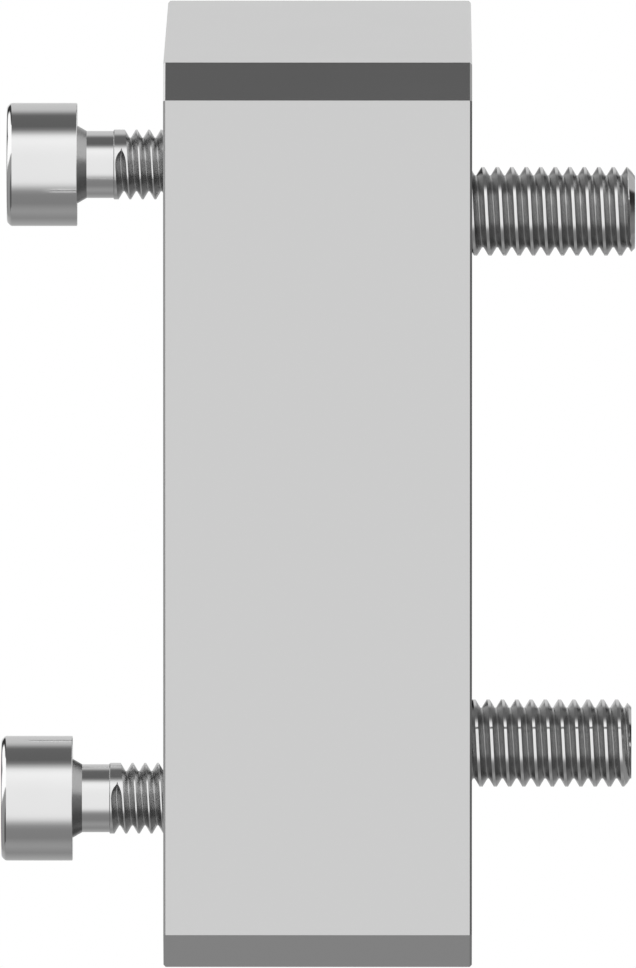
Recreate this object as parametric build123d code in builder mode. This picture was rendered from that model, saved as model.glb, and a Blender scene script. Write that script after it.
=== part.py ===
"""Machined mounting block with its four socket head cap screws.

A square block of bar stock carries four holes on one bolt circle. On one diagonal, short screws
enter tapped holes from the flange side and clamp a flange under their heads. On the other
diagonal, longer screws sit in counterbores, pass through the block and stand out of its seat side.

Frame: millimetres, +X along the screws and out of the seat face, +Z up as the block stands on its
narrow side. The origin is the centre of the hole pattern on the seat face.
"""

import os
from math import radians, tan

from build123d import *

# Block
block_thickness = 17.0
block_width = 50.0
block_height = 50.0
corner_chamfer = 1.95
edge_break = 0.12

# Hole pattern, shared by both pairs of screws: how far each hole lies in from two sides
hole_inset = 8.75

# Short cap screw, M4 x 12
short_length = 12.0
short_thread_diameter = 3.9
short_neck_diameter = 3.72
short_neck_length = 2.03
short_head_diameter = 6.9
short_head_height = 3.94
short_head_rounding = 0.3
short_socket_flats = 3.0
short_socket_depth = 2.0
short_seat_diameter = 4.37
short_seat_cone_length = 0.53
short_end_chamfer = 0.35
flange_gap = 5.06

# Long cap screw, M5 x 20
long_length = 20.0
long_thread_diameter = 4.9
long_neck_diameter = 4.45
long_head_diameter = 8.5
long_head_height = 5.0
long_head_rounding = 0.4
long_socket_flats = 4.0
long_socket_depth = 2.5
long_seat_diameter = 5.4
long_seat_cone_length = 0.6
long_end_chamfer = 0.4

# Holes; the clearances are radial
tap_clearance = 0.05
tap_run_out = 2.0
tap_mouth = 0.3
pilot_diameter = 3.3
pilot_run_out = 1.5
drill_point_angle = 118.0
passage_clearance = 0.3
passage_mouth = 0.3
counterbore_clearance = 0.75
counterbore_mouth = 0.2
head_recess = 1.0

# What follows from the sizes above
pitch_y = block_width - 2 * hole_inset
pitch_z = block_height - 2 * hole_inset
tapped_radius = short_thread_diameter / 2 + tap_clearance
tapped_depth = short_length - flange_gap + tap_run_out
pilot_radius = pilot_diameter / 2
pilot_depth = tapped_depth + pilot_run_out
passage_radius = long_thread_diameter / 2 + passage_clearance
counterbore_radius = long_head_diameter / 2 + counterbore_clearance
counterbore_depth = long_head_height + head_recess
long_run_in = (long_thread_diameter - long_neck_diameter) / 2
long_neck_length = block_thickness - counterbore_depth - long_run_in
short_seat_x = -block_thickness - flange_gap
long_seat_x = -block_thickness + counterbore_depth

short_sites = {"upper": (pitch_y / 2, pitch_z / 2), "lower": (-pitch_y / 2, -pitch_z / 2)}
long_sites = {"upper": (-pitch_y / 2, pitch_z / 2), "lower": (pitch_y / 2, -pitch_z / 2)}


def drilling_from_flange_side(sites, depth=0.0):
    """Places on the flange face, or below it, whose local Z points out of the block."""
    face = Plane(origin=(-block_thickness, 0, 0), x_dir=(0, -1, 0), z_dir=(-1, 0, 0))
    return [face * Pos(-y, z, -depth) for y, z in sites.values()]


# ------------------------------------------------------------------------------ the block
with BuildPart() as mounting_block:
    with BuildSketch(Plane.YZ.offset(-block_thickness)):
        Rectangle(block_width, block_height)
        chamfer(vertices(), corner_chamfer)
    extrude(amount=block_thickness)
    end_faces = faces().filter_by(Axis.X)
    chamfer(end_faces.edges(), edge_break)

    # Tapped holes for the short screws: mouth and thread, the pilot drilling and its point.
    with Locations(*drilling_from_flange_side(short_sites)):
        CounterSinkHole(tapped_radius, tapped_radius + tap_mouth, tapped_depth, 90)
        Hole(pilot_radius, pilot_depth)
    point_height = pilot_radius / tan(radians(drill_point_angle / 2))
    with Locations(*drilling_from_flange_side(short_sites, pilot_depth)):
        Cone(0, pilot_radius, point_height,
             align=(Align.CENTER, Align.CENTER, Align.MAX), mode=Mode.SUBTRACT)

    # Passages for the long screws: counterbore for the head, clearance hole for the shank.
    with Locations(*drilling_from_flange_side(long_sites)):
        CounterBoreHole(passage_radius, counterbore_radius, counterbore_depth)
    rims = edges().filter_by(GeomType.CIRCLE)
    counterbore_rims = rims.filter_by(lambda rim: abs(rim.radius - counterbore_radius) < 1e-6)
    chamfer(counterbore_rims.group_by(Axis.X)[0], counterbore_mouth)
    rims = edges().filter_by(GeomType.CIRCLE)
    passage_rims = rims.filter_by(lambda rim: abs(rim.radius - passage_radius) < 1e-6)
    chamfer(passage_rims.group_by(Axis.X)[-1], passage_mouth)

mounting_block.part.label = "mounting_block"


# ------------------------------------------------------------------------------ the screws
def cap_screw(label, seat, head, neck, thread, socket, end_chamfer):
    """A socket head cap screw whose bearing face lies at seat and whose shank runs along +X.

    head is (diameter, height, rounding), neck is (seat diameter, cone length, diameter, length),
    thread is (diameter, length of the shank), socket is (width across flats, depth).
    """
    head_diameter, head_height, rounding = head
    seat_diameter, cone_length, neck_diameter, neck_length = neck
    thread_diameter, length = thread
    flats, socket_depth = socket
    thread_radius = thread_diameter / 2
    run_in = (thread_diameter - neck_diameter) / 2

    with BuildPart() as screw:
        # The turned form, as a half section along the axis.
        with BuildSketch(Plane(origin=seat, x_dir=(1, 0, 0), z_dir=(0, -1, 0))):
            with BuildLine():
                Polyline(
                    (-head_height, 0),
                    (-head_height, head_diameter / 2),
                    (0, head_diameter / 2),
                    (0, seat_diameter / 2),
                    (cone_length, neck_diameter / 2),
                    (neck_length, neck_diameter / 2),
                    (neck_length + run_in, thread_radius),
                    (length - end_chamfer, thread_radius),
                    (length, thread_radius - end_chamfer),
                    (length, 0),
                    close=True,
                )
            make_face()
        revolve(axis=Axis(seat, (1, 0, 0)))

        head_top = faces().filter_by(Axis.X).sort_by(Axis.X)[0]
        fillet(head_top.edges(), rounding)

        # The hexagon socket, with the shallow cone that the punch leaves at its floor.
        x, y, z = seat
        top = Plane(origin=(x - head_height, y, z), x_dir=(0, -1, 0), z_dir=(-1, 0, 0))
        with BuildSketch(top):
            RegularPolygon(flats / 2, 6, major_radius=False)
        extrude(amount=-socket_depth, mode=Mode.SUBTRACT)
        floor_radius = flats / 2
        floor_height = floor_radius * tan(radians(90 - drill_point_angle / 2))
        with Locations(top * Pos(0, 0, -socket_depth)):
            Cone(0, floor_radius, floor_height,
                 align=(Align.CENTER, Align.CENTER, Align.MAX), mode=Mode.SUBTRACT)

    screw.part.label = label
    return screw.part


short_screws = [
    cap_screw(
        f"clamp_screw_{place}",
        (short_seat_x, y, z),
        (short_head_diameter, short_head_height, short_head_rounding),
        (short_seat_diameter, short_seat_cone_length, short_neck_diameter, short_neck_length),
        (short_thread_diameter, short_length),
        (short_socket_flats, short_socket_depth),
        short_end_chamfer,
    )
    for place, (y, z) in short_sites.items()
]

long_screws = [
    cap_screw(
        f"mounting_screw_{place}",
        (long_seat_x, y, z),
        (long_head_diameter, long_head_height, long_head_rounding),
        (long_seat_diameter, long_seat_cone_length, long_neck_diameter, long_neck_length),
        (long_thread_diameter, long_length),
        (long_socket_flats, long_socket_depth),
        long_end_chamfer,
    )
    for place, (y, z) in long_sites.items()
]

# ------------------------------------------------------------------------------ export
os.makedirs("parts", exist_ok=True)
for piece in [mounting_block.part, *short_screws, *long_screws]:
    export_step(piece, f"parts/{piece.label}.step")
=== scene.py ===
"""A square machined mounting block with four socket head cap screws, dressed for a studio view."""

import math

import bmesh
import bpy
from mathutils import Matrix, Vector


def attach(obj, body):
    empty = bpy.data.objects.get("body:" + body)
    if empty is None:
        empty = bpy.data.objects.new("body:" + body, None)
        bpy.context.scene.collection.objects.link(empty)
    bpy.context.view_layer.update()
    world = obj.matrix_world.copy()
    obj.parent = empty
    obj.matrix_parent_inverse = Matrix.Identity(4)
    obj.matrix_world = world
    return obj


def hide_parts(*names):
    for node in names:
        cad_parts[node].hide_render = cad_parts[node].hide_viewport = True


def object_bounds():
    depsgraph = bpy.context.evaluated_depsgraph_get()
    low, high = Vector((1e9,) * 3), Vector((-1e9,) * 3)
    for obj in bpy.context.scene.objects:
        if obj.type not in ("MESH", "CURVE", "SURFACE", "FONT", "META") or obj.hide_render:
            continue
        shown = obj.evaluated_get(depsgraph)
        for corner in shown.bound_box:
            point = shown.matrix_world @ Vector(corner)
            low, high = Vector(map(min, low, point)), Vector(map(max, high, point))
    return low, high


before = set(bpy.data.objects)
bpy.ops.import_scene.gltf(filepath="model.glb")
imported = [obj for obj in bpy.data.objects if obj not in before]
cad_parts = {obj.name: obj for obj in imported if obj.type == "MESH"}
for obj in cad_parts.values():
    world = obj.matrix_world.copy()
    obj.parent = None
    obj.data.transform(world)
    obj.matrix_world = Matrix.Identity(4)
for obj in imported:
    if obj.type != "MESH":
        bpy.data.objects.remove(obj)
size_at_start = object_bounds()

# ---------------------------------------------------------------- the view
# The block is seen square on, from a long way off and a little above, so its edges stay parallel.
# The sensor's height sets the picture, and its width keeps views from other sides within reach.
LOOK_DOWN = math.radians(4.931)
LOOK_ASIDE = math.radians(-0.134)
DISTANCE = 2.2046
AIM = Vector((-0.008535, 0.0, -0.000266))
FOCAL_LENGTH = 1473.1

view_line = Vector((
    math.sin(LOOK_ASIDE) * math.cos(LOOK_DOWN),
    math.cos(LOOK_ASIDE) * math.cos(LOOK_DOWN),
    -math.sin(LOOK_DOWN),
))
lens = bpy.data.cameras.new("long_lens")
lens.sensor_fit = "VERTICAL"
lens.sensor_width = 48.0
lens.sensor_height = 36.0
lens.lens = FOCAL_LENGTH
lens.clip_start = 0.1
lens.clip_end = 50.0
camera = bpy.data.objects.new("camera", lens)
camera.location = AIM - view_line * DISTANCE
camera.rotation_euler = (math.pi / 2 - LOOK_DOWN, 0.0, -LOOK_ASIDE)
bpy.context.scene.collection.objects.link(camera)
bpy.context.scene.camera = camera
bpy.context.scene.view_settings.view_transform = "Standard"


# ---------------------------------------------------------------- the studio
# A white front wall, a dark ceiling strip and a grey back wall surround the block, so polished
# steel shows broad bands. The camera itself sees plain white all round.
class Shade:
    """One socket in a node tree. Arithmetic on it adds Math nodes, node() adds any other."""

    def __init__(self, tree, socket=None):
        self.tree = tree
        self.socket = socket

    def node(self, kind, inputs=None, out=0, stops=None, **settings):
        made = self.tree.nodes.new("ShaderNode" + kind)
        for name, value in settings.items():
            setattr(made, name, value)
        if stops:
            points = made.color_ramp.elements
            while len(points) < len(stops):
                points.new(0.5)
            for point, (place, level) in zip(points, stops):
                point.position = place
                point.color = (level, level, level, 1.0)
        for key, value in (inputs or {}).items():
            if isinstance(value, Shade):
                self.tree.links.new(value.socket, made.inputs[key])
            else:
                made.inputs[key].default_value = value
        return Shade(self.tree, made.outputs[out] if len(made.outputs) else None)

    def other(self, output):
        return Shade(self.tree, self.socket.node.outputs[output])

    def math(self, operation, first, second=0.0, third=0.0, clamp=False):
        inputs = {0: first, 1: second, 2: third}
        return self.node("Math", inputs, operation=operation, use_clamp=clamp)

    def __add__(self, other):
        return self.math("ADD", self, other)

    def __radd__(self, other):
        return self.math("ADD", other, self)

    def __sub__(self, other):
        return self.math("SUBTRACT", self, other)

    def __rsub__(self, other):
        return self.math("SUBTRACT", other, self)

    def __mul__(self, other):
        return self.math("MULTIPLY", self, other)

    def __rmul__(self, other):
        return self.math("MULTIPLY", other, self)

    def __truediv__(self, other):
        return self.math("DIVIDE", self, other)

    def __neg__(self):
        return self * -1.0


def fresh_tree(owner):
    """Clears the nodes of a new world or material and gives its tree as a Shade."""
    owner.use_nodes = True
    owner.node_tree.nodes.clear()
    return Shade(owner.node_tree)


# Degrees round the X axis: 0 towards the viewer, 90 overhead, 180 behind, -90 underneath.
WALLS = (
    (-180, 0.80), (-172, 0.70), (-163, 0.46), (-150, 0.38), (-130, 0.30), (-117, 0.245),
    (-108, 0.265), (-96, 0.30), (-88, 0.285), (-74, 0.212), (-60, 0.215), (-54, 0.225),
    (-47, 0.28), (-41, 0.44), (-35, 0.66), (-29, 0.79), (-22, 0.825), (20, 0.835),
    (33, 0.86), (48, 0.905), (54, 0.885), (60, 0.78), (66, 0.47), (73, 0.19), (80, 0.114),
    (100, 0.12), (110, 0.13), (117, 0.25), (122, 0.40), (131, 0.54), (165, 0.60), (180, 0.80),
)
# The levels of the side walls, from floor (-1) to ceiling (1). The right wall has three parts: the
# part nearer the viewer than the block, the part level with it, and the part behind it. The left
# wall has two, and carries a big lamp whose lower edge climbs towards the viewer.
RIGHT_WALL = (
    ((-1, 0.2), (-0.55, 0.17), (-0.42, 0.15), (-0.3, 0.08), (-0.1, 0.125), (0.3, 0.13),
     (0.6, 0.2), (1, 0.2)),
    ((-1, 0.12), (-0.6, 0.15), (-0.35, 0.19), (-0.15, 0.2), (-0.05, 0.13), (0.02, 0.025),
     (0.42, 0.025), (0.49, 0.62), (0.72, 0.28), (1, 0.25)),
    ((-1, 0.06), (-0.62, 0.07), (-0.54, 0.22), (-0.4, 0.35), (-0.2, 0.36), (0, 0.27),
     (0.15, 0.25), (0.25, 0.3), (0.35, 0.45), (0.66, 0.36), (1, 0.4)),
)
LEFT_WALL = (
    ((-1, 0.08), (-0.7, 0.1), (-0.5, 0.28), (-0.1, 0.3), (-0.02, 0.3), (0.05, 1.05), (1, 1.05)),
    ((-1, 0.3), (-0.5, 0.28), (-0.3, 0.2), (-0.1, 0.22), (0, 0.27), (0.12, 0.27), (0.18, 0.05),
     (0.33, 0.05), (0.4, 1.05), (1, 0.9)),
)
LAMP_CLIMB = 0.47
GAP_LEVEL = 0.03
# The edges between the parts of the room, each as (where, over what width), measured on a unit
# direction: its share sideways, away from the viewer, or up.
LEVEL_PART = (0.0, 0.15)
BEHIND_PART = (0.3, 0.08)
LEFT_HALF = (0.0, 0.1)
RIGHT_WALL_FROM = (0.24, 0.12)
LEFT_WALL_FROM = (0.25, 0.08)
GAP_FROM = (0.2, 0.08)
GAP_AWAY = (0.1, 0.2)
GAP_ABOVE = (0.16, 0.06)
# Past this edge, beyond the block, the left wall begins this much farther out.
LEFT_WALL_RECEDES = (0.0, 0.2)
LEFT_WALL_RETREAT = 0.25

studio = bpy.data.worlds.new("studio")
bpy.context.scene.world = studio
sky = fresh_tree(studio)
heading = sky.node("TexCoord", out="Generated")
along = sky.node("SeparateXYZ", {0: heading}, out="X")
away, up = along.other("Y"), along.other("Z")
round_x = sky.math("ARCTAN2", up, -away)
bands = sky.node(
    "ValToRGB",
    {"Fac": round_x / (2 * math.pi) + 0.5},
    stops=[((degrees / 180 + 1) / 2, level) for degrees, level in WALLS],
)


def past(value, edge):
    """Rises from 0 to 1 as value passes an edge, given as (where, over what width)."""
    where, width = edge
    return sky.math("MULTIPLY_ADD", value, 1.0 / width, 0.5 - where / width, clamp=True)


def wall(levels, height):
    """Part of a side wall, whose level changes with height."""
    stops = [((place + 1) / 2, level) for place, level in levels]
    return sky.node("ValToRGB", {"Fac": height * 0.5 + 0.5}, stops=stops)


def joined(first, second, share):
    """Two levels, blended from the first to the second as share goes from 0 to 1."""
    return first + (second - first) * share


right = joined(wall(RIGHT_WALL[0], up), wall(RIGHT_WALL[1], up), past(away, LEVEL_PART))
right = joined(right, wall(RIGHT_WALL[2], up), past(away, BEHIND_PART))
lamp_side = wall(LEFT_WALL[0], up + away * LAMP_CLIMB)
left = joined(lamp_side, wall(LEFT_WALL[1], up), past(away, BEHIND_PART))
on_left = past(-along, LEFT_HALF)
sideways = sky.math("ABSOLUTE", along)
# A dark gap stands between the left wall and the back wall, above the height of the table.
gap = on_left * past(sideways, GAP_FROM) * past(away, GAP_AWAY) * past(up, GAP_ABOVE)
room = joined(bands, GAP_LEVEL, gap)
room = joined(room, right, past(sideways, RIGHT_WALL_FROM) * (1.0 - on_left))
left_reach = sideways - past(away, LEFT_WALL_RECEDES) * LEFT_WALL_RETREAT
room = joined(room, left, past(left_reach, LEFT_WALL_FROM) * on_left)
seen = joined(room, 1.0, sky.node("LightPath", out="Is Camera Ray"))
light = sky.node("Background", {"Color": seen, "Strength": 1.0})
sky.node("OutputWorld", {"Surface": light})

# The table is a plain white sheet under the block, which the steel doesn't mirror.
FLOOR_SIZE = 3.0
sheet = bmesh.new()
bmesh.ops.create_grid(sheet, x_segments=1, y_segments=1, size=FLOOR_SIZE / 2)
bmesh.ops.translate(sheet, verts=sheet.verts, vec=(0, 0, size_at_start[0][2]))
floor_mesh = bpy.data.meshes.new("floor")
sheet.to_mesh(floor_mesh)
sheet.free()
floor = bpy.data.objects.new("floor", floor_mesh)
bpy.context.scene.collection.objects.link(floor)
floor.visible_glossy = False
white_sheet = bpy.data.materials.new("white_sheet")
paper = fresh_tree(white_sheet)
matt = paper.node("BsdfDiffuse", {"Color": (0.8, 0.8, 0.8, 1.0)})
bright = paper.node("Emission", {"Color": (1.0, 1.0, 1.0, 1.0), "Strength": 1.0})
to_camera = paper.node("LightPath", out="Is Camera Ray")
sheet_surface = paper.node("MixShader", {0: to_camera, 1: matt, 2: bright})
paper.node("OutputMaterial", {"Surface": sheet_surface})
floor_mesh.materials.append(white_sheet)

# ---------------------------------------------------------------- the block
# A square of aluminium bar, milled all over, bead blasted to an even satin and left bare. Its
# holes are drilled, counterbored and tapped from the flange side.
MM = 0.001
SATIN_ROUGHNESS = 0.18
SATIN_LEVEL = 0.755

satin = bpy.data.materials.new("satin_aluminium")
metal = fresh_tree(satin)
place = metal.node("TexCoord", out="Object")
grain = metal.node("TexNoise", {"Vector": place, "Scale": 9000.0, "Detail": 3.0, "Roughness": 0.6})
cloud = metal.node("TexNoise", {"Vector": place, "Scale": 160.0, "Detail": 2.0})
roughness = SATIN_ROUGHNESS + grain * 0.03 + cloud * 0.02
level = SATIN_LEVEL + grain * 0.01 + cloud * 0.01
colour = metal.node("CombineColor", {0: level, 1: level, 2: level})
relief = metal.node("Bump", {"Strength": 0.02, "Distance": 0.00001, "Height": grain})
surface = metal.node(
    "BsdfPrincipled",
    {"Base Color": colour, "Metallic": 1.0, "Roughness": roughness, "Normal": relief},
)
metal.node("OutputMaterial", {"Surface": surface})
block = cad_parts["mounting_block"]
block.data.materials.clear()
block.data.materials.append(satin)

# ---------------------------------------------------------------- the clamp screws
# Two short hardened steel cap screws, cold headed, rolled threaded and polished bright. Their
# threads bite in the block's tapped holes, and their heads stand clear to take the flange.
# Each face's value is 1 on polished steel; lower makes it rougher and darker with painted shade.
STEEL_ROUGHNESS = 0.06
STEEL_LEVEL = 0.93
DULLING = 0.38

bright_steel = bpy.data.materials.new("bright_steel")
metal = fresh_tree(bright_steel)
place = metal.node("TexCoord", out="Object")
polish = metal.node("TexNoise", {"Vector": place, "Scale": 2500.0, "Detail": 3.0})
wisps = metal.node("TexNoise", {"Vector": place, "Scale": 300.0, "Detail": 2.0})
polish_and_painted_shade = metal.node("Attribute", out="Fac", attribute_name="polish_and_painted_shade")
# Below 1 the value raises the roughness and darkens the colour, which is painted shade.
roughness = STEEL_ROUGHNESS + polish * 0.04 + wisps * 0.03 + (1.0 - polish_and_painted_shade) * DULLING
level = (STEEL_LEVEL + wisps * 0.04) * polish_and_painted_shade
colour = metal.node("CombineColor", {0: level, 1: level, 2: level})
surface = metal.node(
    "BsdfPrincipled", {"Base Color": colour, "Metallic": 1.0, "Roughness": roughness}
)
metal.node("OutputMaterial", {"Surface": surface})

ROUND_STEPS = 96
THREAD_STEPS = 64
AXIS = (1.0, 0.0, 0.0)


def spun(mesh, outline, steps, advance=0.0):
    """Spins an open outline of (x, radius) points, in mm, once about X, advancing along it."""
    points = [mesh.verts.new((x, 0.0, radius)) for x, radius in outline]
    edges = [mesh.edges.new(pair) for pair in zip(points, points[1:])]
    bmesh.ops.spin(
        mesh, geom=points + edges, cent=(0, 0, 0), axis=AXIS, dvec=(advance / steps, 0, 0),
        angle=2 * math.pi, steps=steps, use_merge=not advance, use_duplicate=False,
    )


def of_kind(kind, items):
    """The items of one kind, verts or edges, among those that a bmesh operator returns."""
    return [item for item in items if isinstance(item, kind)]


def everything(mesh):
    """All verts, edges and faces, as bmesh operators ask for them."""
    return list(mesh.verts) + list(mesh.edges) + list(mesh.faces)


def open_rim(mesh, x):
    """The boundary edges that lie at one x."""
    return [edge for edge in mesh.edges if edge.is_boundary
            and all(abs(vert.co.x - x) < 1e-4 for vert in edge.verts)]


CORNER_STEPS = 12
CORNER_FLATNESS = 0.8


def round_corner(x, radius, size):
    """Points of the rolled edge between a head's top and its side, nearly flat at its middle."""
    steps = [(step + 0.5) / CORNER_STEPS for step in range(CORNER_STEPS)]
    turns = [math.pi / 2 * (step + CORNER_FLATNESS * math.sin(2 * math.pi * step) / (2 * math.pi))
             for step in steps]
    reach = sum(math.sin(turn) for turn in turns)
    points = [(x, radius - size)]
    for turn in turns:
        last_x, last_radius = points[-1]
        points.append((last_x + size * math.sin(turn) / reach,
                       last_radius + size * math.cos(turn) / reach))
    return points


HEAD_EDGE_BREAK = 0.03
SOCKET_MARGIN = 0.2
SOCKET_BEVEL = 0.08
SOCKET_FLARE = 1.05
SOCKET_FLOOR_SHARE = 0.96
SOCKET_FLOOR_DROP = 0.5
SOCKET_FLOOR_TIP = 0.1
# How much darker the cone under the head is painted, as shade.
CONE_PAINTED_SHADE = 0.58


def head_and_neck(head, neck, socket):
    """The headed end of a cap screw in mm, seat at x = 0: a round head with a hexagon socket.

    head is (diameter, height, rounding), socket is (width across flats, depth), and neck is
    (diameter at the seat, length of the cone, diameter, where the neck ends).
    """
    diameter, height, rounding = head
    seat_diameter, cone, neck_diameter, neck_end = neck
    flats, depth = socket
    top = -height
    side = diameter / 2
    mouth = flats / 2 / math.cos(math.radians(30)) + SOCKET_MARGIN
    mesh = bmesh.new()
    outline = [(top, mouth)] + round_corner(top, side, rounding) + [
        (-HEAD_EDGE_BREAK, side), (0.0, side - HEAD_EDGE_BREAK), (0.0, seat_diameter / 2),
        (cone, neck_diameter / 2), (neck_end, neck_diameter / 2),
    ]
    spun(mesh, outline, ROUND_STEPS)

    # The socket: a fine bevel round its mouth, six flat walls and a shallow cone for a floor.
    def drawn_on(rim, x, radius_at):
        made = bmesh.ops.extrude_edge_only(mesh, edges=rim)["geom"]
        for vert in of_kind(bmesh.types.BMVert, made):
            angle = math.atan2(vert.co.z, vert.co.y)
            radius = radius_at(angle)
            vert.co = (x, radius * math.cos(angle), radius * math.sin(angle))
        return of_kind(bmesh.types.BMEdge, made)

    def hexagon(angle):
        return flats / 2 / math.cos((angle % math.radians(60)) - math.radians(30))

    rim = drawn_on(open_rim(mesh, top), top, lambda angle: hexagon(angle) * SOCKET_FLARE)
    rim = drawn_on(rim, top + SOCKET_BEVEL, hexagon)
    rim = drawn_on(rim, top + depth, hexagon)
    rim = drawn_on(rim, top + depth, lambda angle: flats / 2 * SOCKET_FLOOR_SHARE)
    rim = drawn_on(rim, top + depth + SOCKET_FLOOR_DROP, lambda angle: SOCKET_FLOOR_TIP)
    bmesh.ops.edgeloop_fill(mesh, edges=rim)
    bmesh.ops.edgeloop_fill(mesh, edges=open_rim(mesh, neck_end))

    # The cone under the head is made rougher and its colour darker: painted shade under the head.
    polish_and_painted_shade = mesh.faces.layers.float.new("polish_and_painted_shade")
    for face in mesh.faces:
        face[polish_and_painted_shade] = CONE_PAINTED_SHADE if 0.0 < face.calc_center_median().x < cone else 1.0
    return mesh


HOLLOW_SHARE = 0.15
HOLLOW_DEPTH = 0.2
HOLLOW_STEP = math.pi / 8
FLANK_STEPS = 5
RUN_OUT = 0.09
RUN_OUT_DRIFT = 0.1
START_CHAMFER = 0.04
# How much darker the flanks and the thread's start are painted, as shade in the grooves and at the
# step.
FLANK_PAINTED_SHADE = 0.67
START_PAINTED_SHADE = 0.7
START_REACH = 0.05
POINT_REACH = 0.03
CREST_REACH = 0.02


def helical_thread(thread, span, end_chamfer, crest_at, groove_from=-math.inf):
    """A rolled right-hand thread in mm over a span of x, with a crest above the axis at crest_at.

    thread is (crest diameter, root diameter, pitch, width of the crest's flat). The groove starts
    groove_from turns after that crest, or before the screw, and deepens over RUN_OUT turns.
    """
    crest_diameter, root_diameter, pitch, flat = thread
    start, end = span
    crest, root = crest_diameter / 2, root_diameter / 2
    hollow = pitch * HOLLOW_SHARE
    slope = (pitch - flat - hollow) / 2
    down = [(flat / 2 + slope * step / FLANK_STEPS, crest + (root - crest) * step / FLANK_STEPS)
            for step in range(FLANK_STEPS + 1)]
    floor_points = [(pitch / 2 + hollow / 2 * math.sin(HOLLOW_STEP * step),
                     root - hollow * HOLLOW_DEPTH * math.cos(HOLLOW_STEP * step))
                    for step in range(-3, 4)]
    rise = [(pitch - x, radius) for x, radius in reversed(down)]

    # One turn is spun, then repeated along the screw and joined.
    mesh = bmesh.new()
    spun(mesh, [(-flat / 2, crest)] + down + floor_points + rise, THREAD_STEPS, pitch)
    turn = everything(mesh)
    before = math.ceil((crest_at - start) / pitch) + 1
    after = math.ceil((end - crest_at) / pitch) + 1
    for number in range(-before, after + 1):
        if number:
            copy = bmesh.ops.duplicate(mesh, geom=turn)["geom"]
            copied = of_kind(bmesh.types.BMVert, copy)
            bmesh.ops.translate(mesh, vec=(pitch * number, 0, 0), verts=copied)

    # The groove runs out by rising to the crest and closing to a point just past its middle.
    for vert in mesh.verts:
        turned = math.atan2(-vert.co.y, vert.co.z) / (2 * math.pi) % 1.0
        groove = math.floor((vert.co.x - flat / 2) / pitch - turned + 1e-4)
        inside = vert.co.x - pitch * (groove + turned)
        share = min(1.0, max(0.0, (groove + turned - groove_from) / RUN_OUT))
        share = 1.0 - (1.0 - share) ** 3
        radius = math.hypot(vert.co.y, vert.co.z)
        wanted = crest - (crest - radius) * share
        vert.co.x += (inside - pitch / 2 - RUN_OUT_DRIFT) * (share - 1.0) + crest_at
        vert.co.y *= wanted / radius
        vert.co.z *= wanted / radius
    bmesh.ops.remove_doubles(mesh, verts=mesh.verts, dist=0.001)

    # Cut to length, close the ends, and chamfer the point.
    def cut(x, side, clear):
        bmesh.ops.bisect_plane(
            mesh, geom=everything(mesh), dist=1e-5, plane_co=(x, 0, 0), plane_no=(side, 0, 0),
            clear_outer=clear, clear_inner=False,
        )

    for x, side in ((start, -1.0), (end, 1.0)):
        cut(x, side, True)
        bmesh.ops.edgeloop_fill(mesh, edges=open_rim(mesh, x))
    for x in (start + START_CHAMFER, end - end_chamfer, end - end_chamfer / 2):
        cut(x, 1.0, False)
    for vert in mesh.verts:
        radius = math.hypot(vert.co.y, vert.co.z)
        limit = crest - max(0.0, end_chamfer - (end - vert.co.x))
        limit = min(limit, crest - max(0.0, START_CHAMFER - (vert.co.x - start)))
        if radius > limit:
            vert.co.y *= limit / radius
            vert.co.z *= limit / radius

    # The flanks and root are rougher than the crests, and their colour is painted darker as shade
    # in the grooves.
    polish_and_painted_shade = mesh.faces.layers.float.new("polish_and_painted_shade")
    for face in mesh.faces:
        middle = face.calc_center_median()
        depth = crest - math.hypot(middle.y, middle.z)
        chamfered = end_chamfer - (end - middle.x)
        on_point = chamfered > 0.0 and depth < chamfered + POINT_REACH
        # The step where the thread starts is painted darker, as a line of shade.
        if middle.x < start + START_REACH:
            face[polish_and_painted_shade] = START_PAINTED_SHADE
        elif depth < CREST_REACH or on_point:
            face[polish_and_painted_shade] = 1.0
        else:
            face[polish_and_painted_shade] = FLANK_PAINTED_SHADE
    return mesh


SHARP_ANGLE = math.radians(22)


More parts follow.
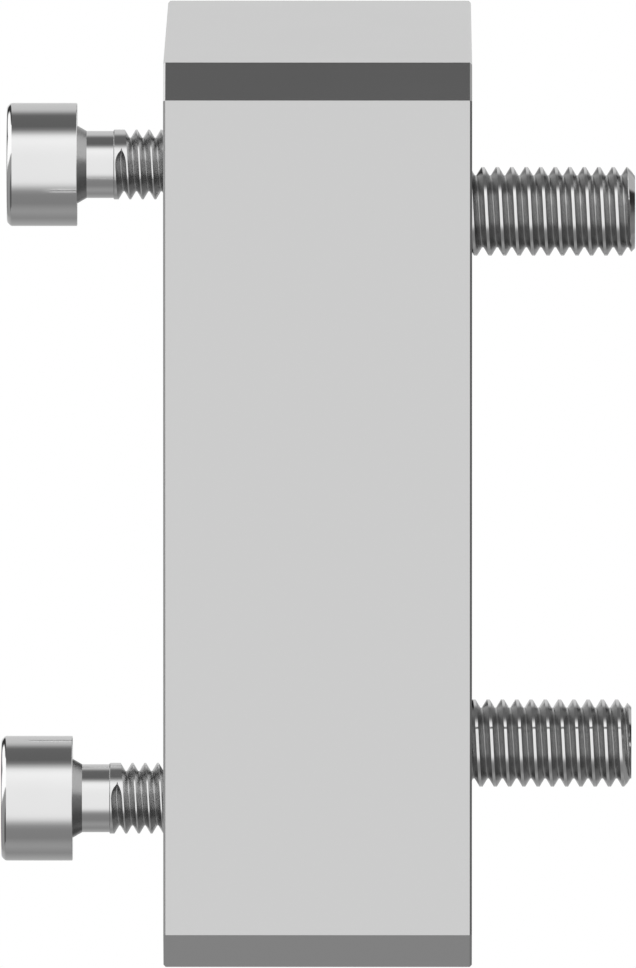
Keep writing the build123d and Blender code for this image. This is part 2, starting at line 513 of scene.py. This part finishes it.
def placed_piece(name, shells, seat):
    """Joins closed shells, in mm round a seat at the origin, into one object at its place."""
    mesh = bmesh.new()
    mesh.faces.layers.float.new("polish_and_painted_shade")
    for shell in shells:
        bmesh.ops.remove_doubles(shell, verts=shell.verts, dist=1e-4)
        bmesh.ops.recalc_face_normals(shell, faces=shell.faces)
        part = bpy.data.meshes.new("part")
        shell.to_mesh(part)
        shell.free()
        mesh.from_mesh(part)
        bpy.data.meshes.remove(part)
    bmesh.ops.translate(mesh, verts=mesh.verts, vec=seat)
    bmesh.ops.scale(mesh, verts=mesh.verts, vec=(MM, MM, MM))
    for face in mesh.faces:
        face.smooth = True
    for edge in mesh.edges:
        edge.smooth = edge.calc_face_angle(0.0) < SHARP_ANGLE
    data = bpy.data.meshes.new("turned_" + name)
    mesh.to_mesh(data)
    mesh.free()
    data.materials.append(bright_steel)
    piece = bpy.data.objects.new("turned_" + name, data)
    bpy.context.scene.collection.objects.link(piece)
    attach(piece, "root")
    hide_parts(name)


HALF_PITCH = 16.25
CLAMP_SEAT = -22.06
CLAMP_PLAY = 0.05
CLAMP_HEAD = (6.9, 3.94, 0.3)
CLAMP_NECK = (4.37, 0.53, 3.76, 2.05)
CLAMP_SOCKET = (3.0, 2.0)
CLAMP_THREAD = (3.92, 3.06, 0.7, 0.08)
CLAMP_SPAN = (2.04, 12.0)
CLAMP_CHAMFER = 0.35
CLAMP_GROOVE_FROM = 0.167

for name, y, z, crest_at in (
    ("clamp_screw_upper", HALF_PITCH, HALF_PITCH + CLAMP_PLAY, 1.929),
    ("clamp_screw_lower", -HALF_PITCH, -HALF_PITCH - CLAMP_PLAY, 1.921),
):
    head = head_and_neck(CLAMP_HEAD, CLAMP_NECK, CLAMP_SOCKET)
    shank = helical_thread(CLAMP_THREAD, CLAMP_SPAN, CLAMP_CHAMFER, crest_at, CLAMP_GROOVE_FROM)
    placed_piece(name, [head, shank], (CLAMP_SEAT, y, z))

# ---------------------------------------------------------------- the mounting screws
# Two longer cap screws of the same steel. Their heads sit down in the counterbores, and their
# threads stand out of the seat face to draw the block onto a machine.
MOUNTING_SEAT = -11.0
MOUNTING_HEAD = (8.5, 5.0, 0.4)
MOUNTING_NECK = (5.4, 0.6, 4.45, 10.3)
MOUNTING_SOCKET = (4.0, 2.5)
MOUNTING_THREAD = (4.9, 4.03, 0.8, 0.155)
MOUNTING_SPAN = (10.29, 20.0)
MOUNTING_CHAMFER = 0.4

for name, y, z, crest_at in (
    ("mounting_screw_upper", -HALF_PITCH, HALF_PITCH, 14.817),
    ("mounting_screw_lower", HALF_PITCH, -HALF_PITCH, 15.190),
):
    head = head_and_neck(MOUNTING_HEAD, MOUNTING_NECK, MOUNTING_SOCKET)
    shank = helical_thread(MOUNTING_THREAD, MOUNTING_SPAN, MOUNTING_CHAMFER, crest_at)
    placed_piece(name, [head, shank], (MOUNTING_SEAT, y, z))

# ---------------------------------------------------------------- last update
bpy.context.view_layer.update()
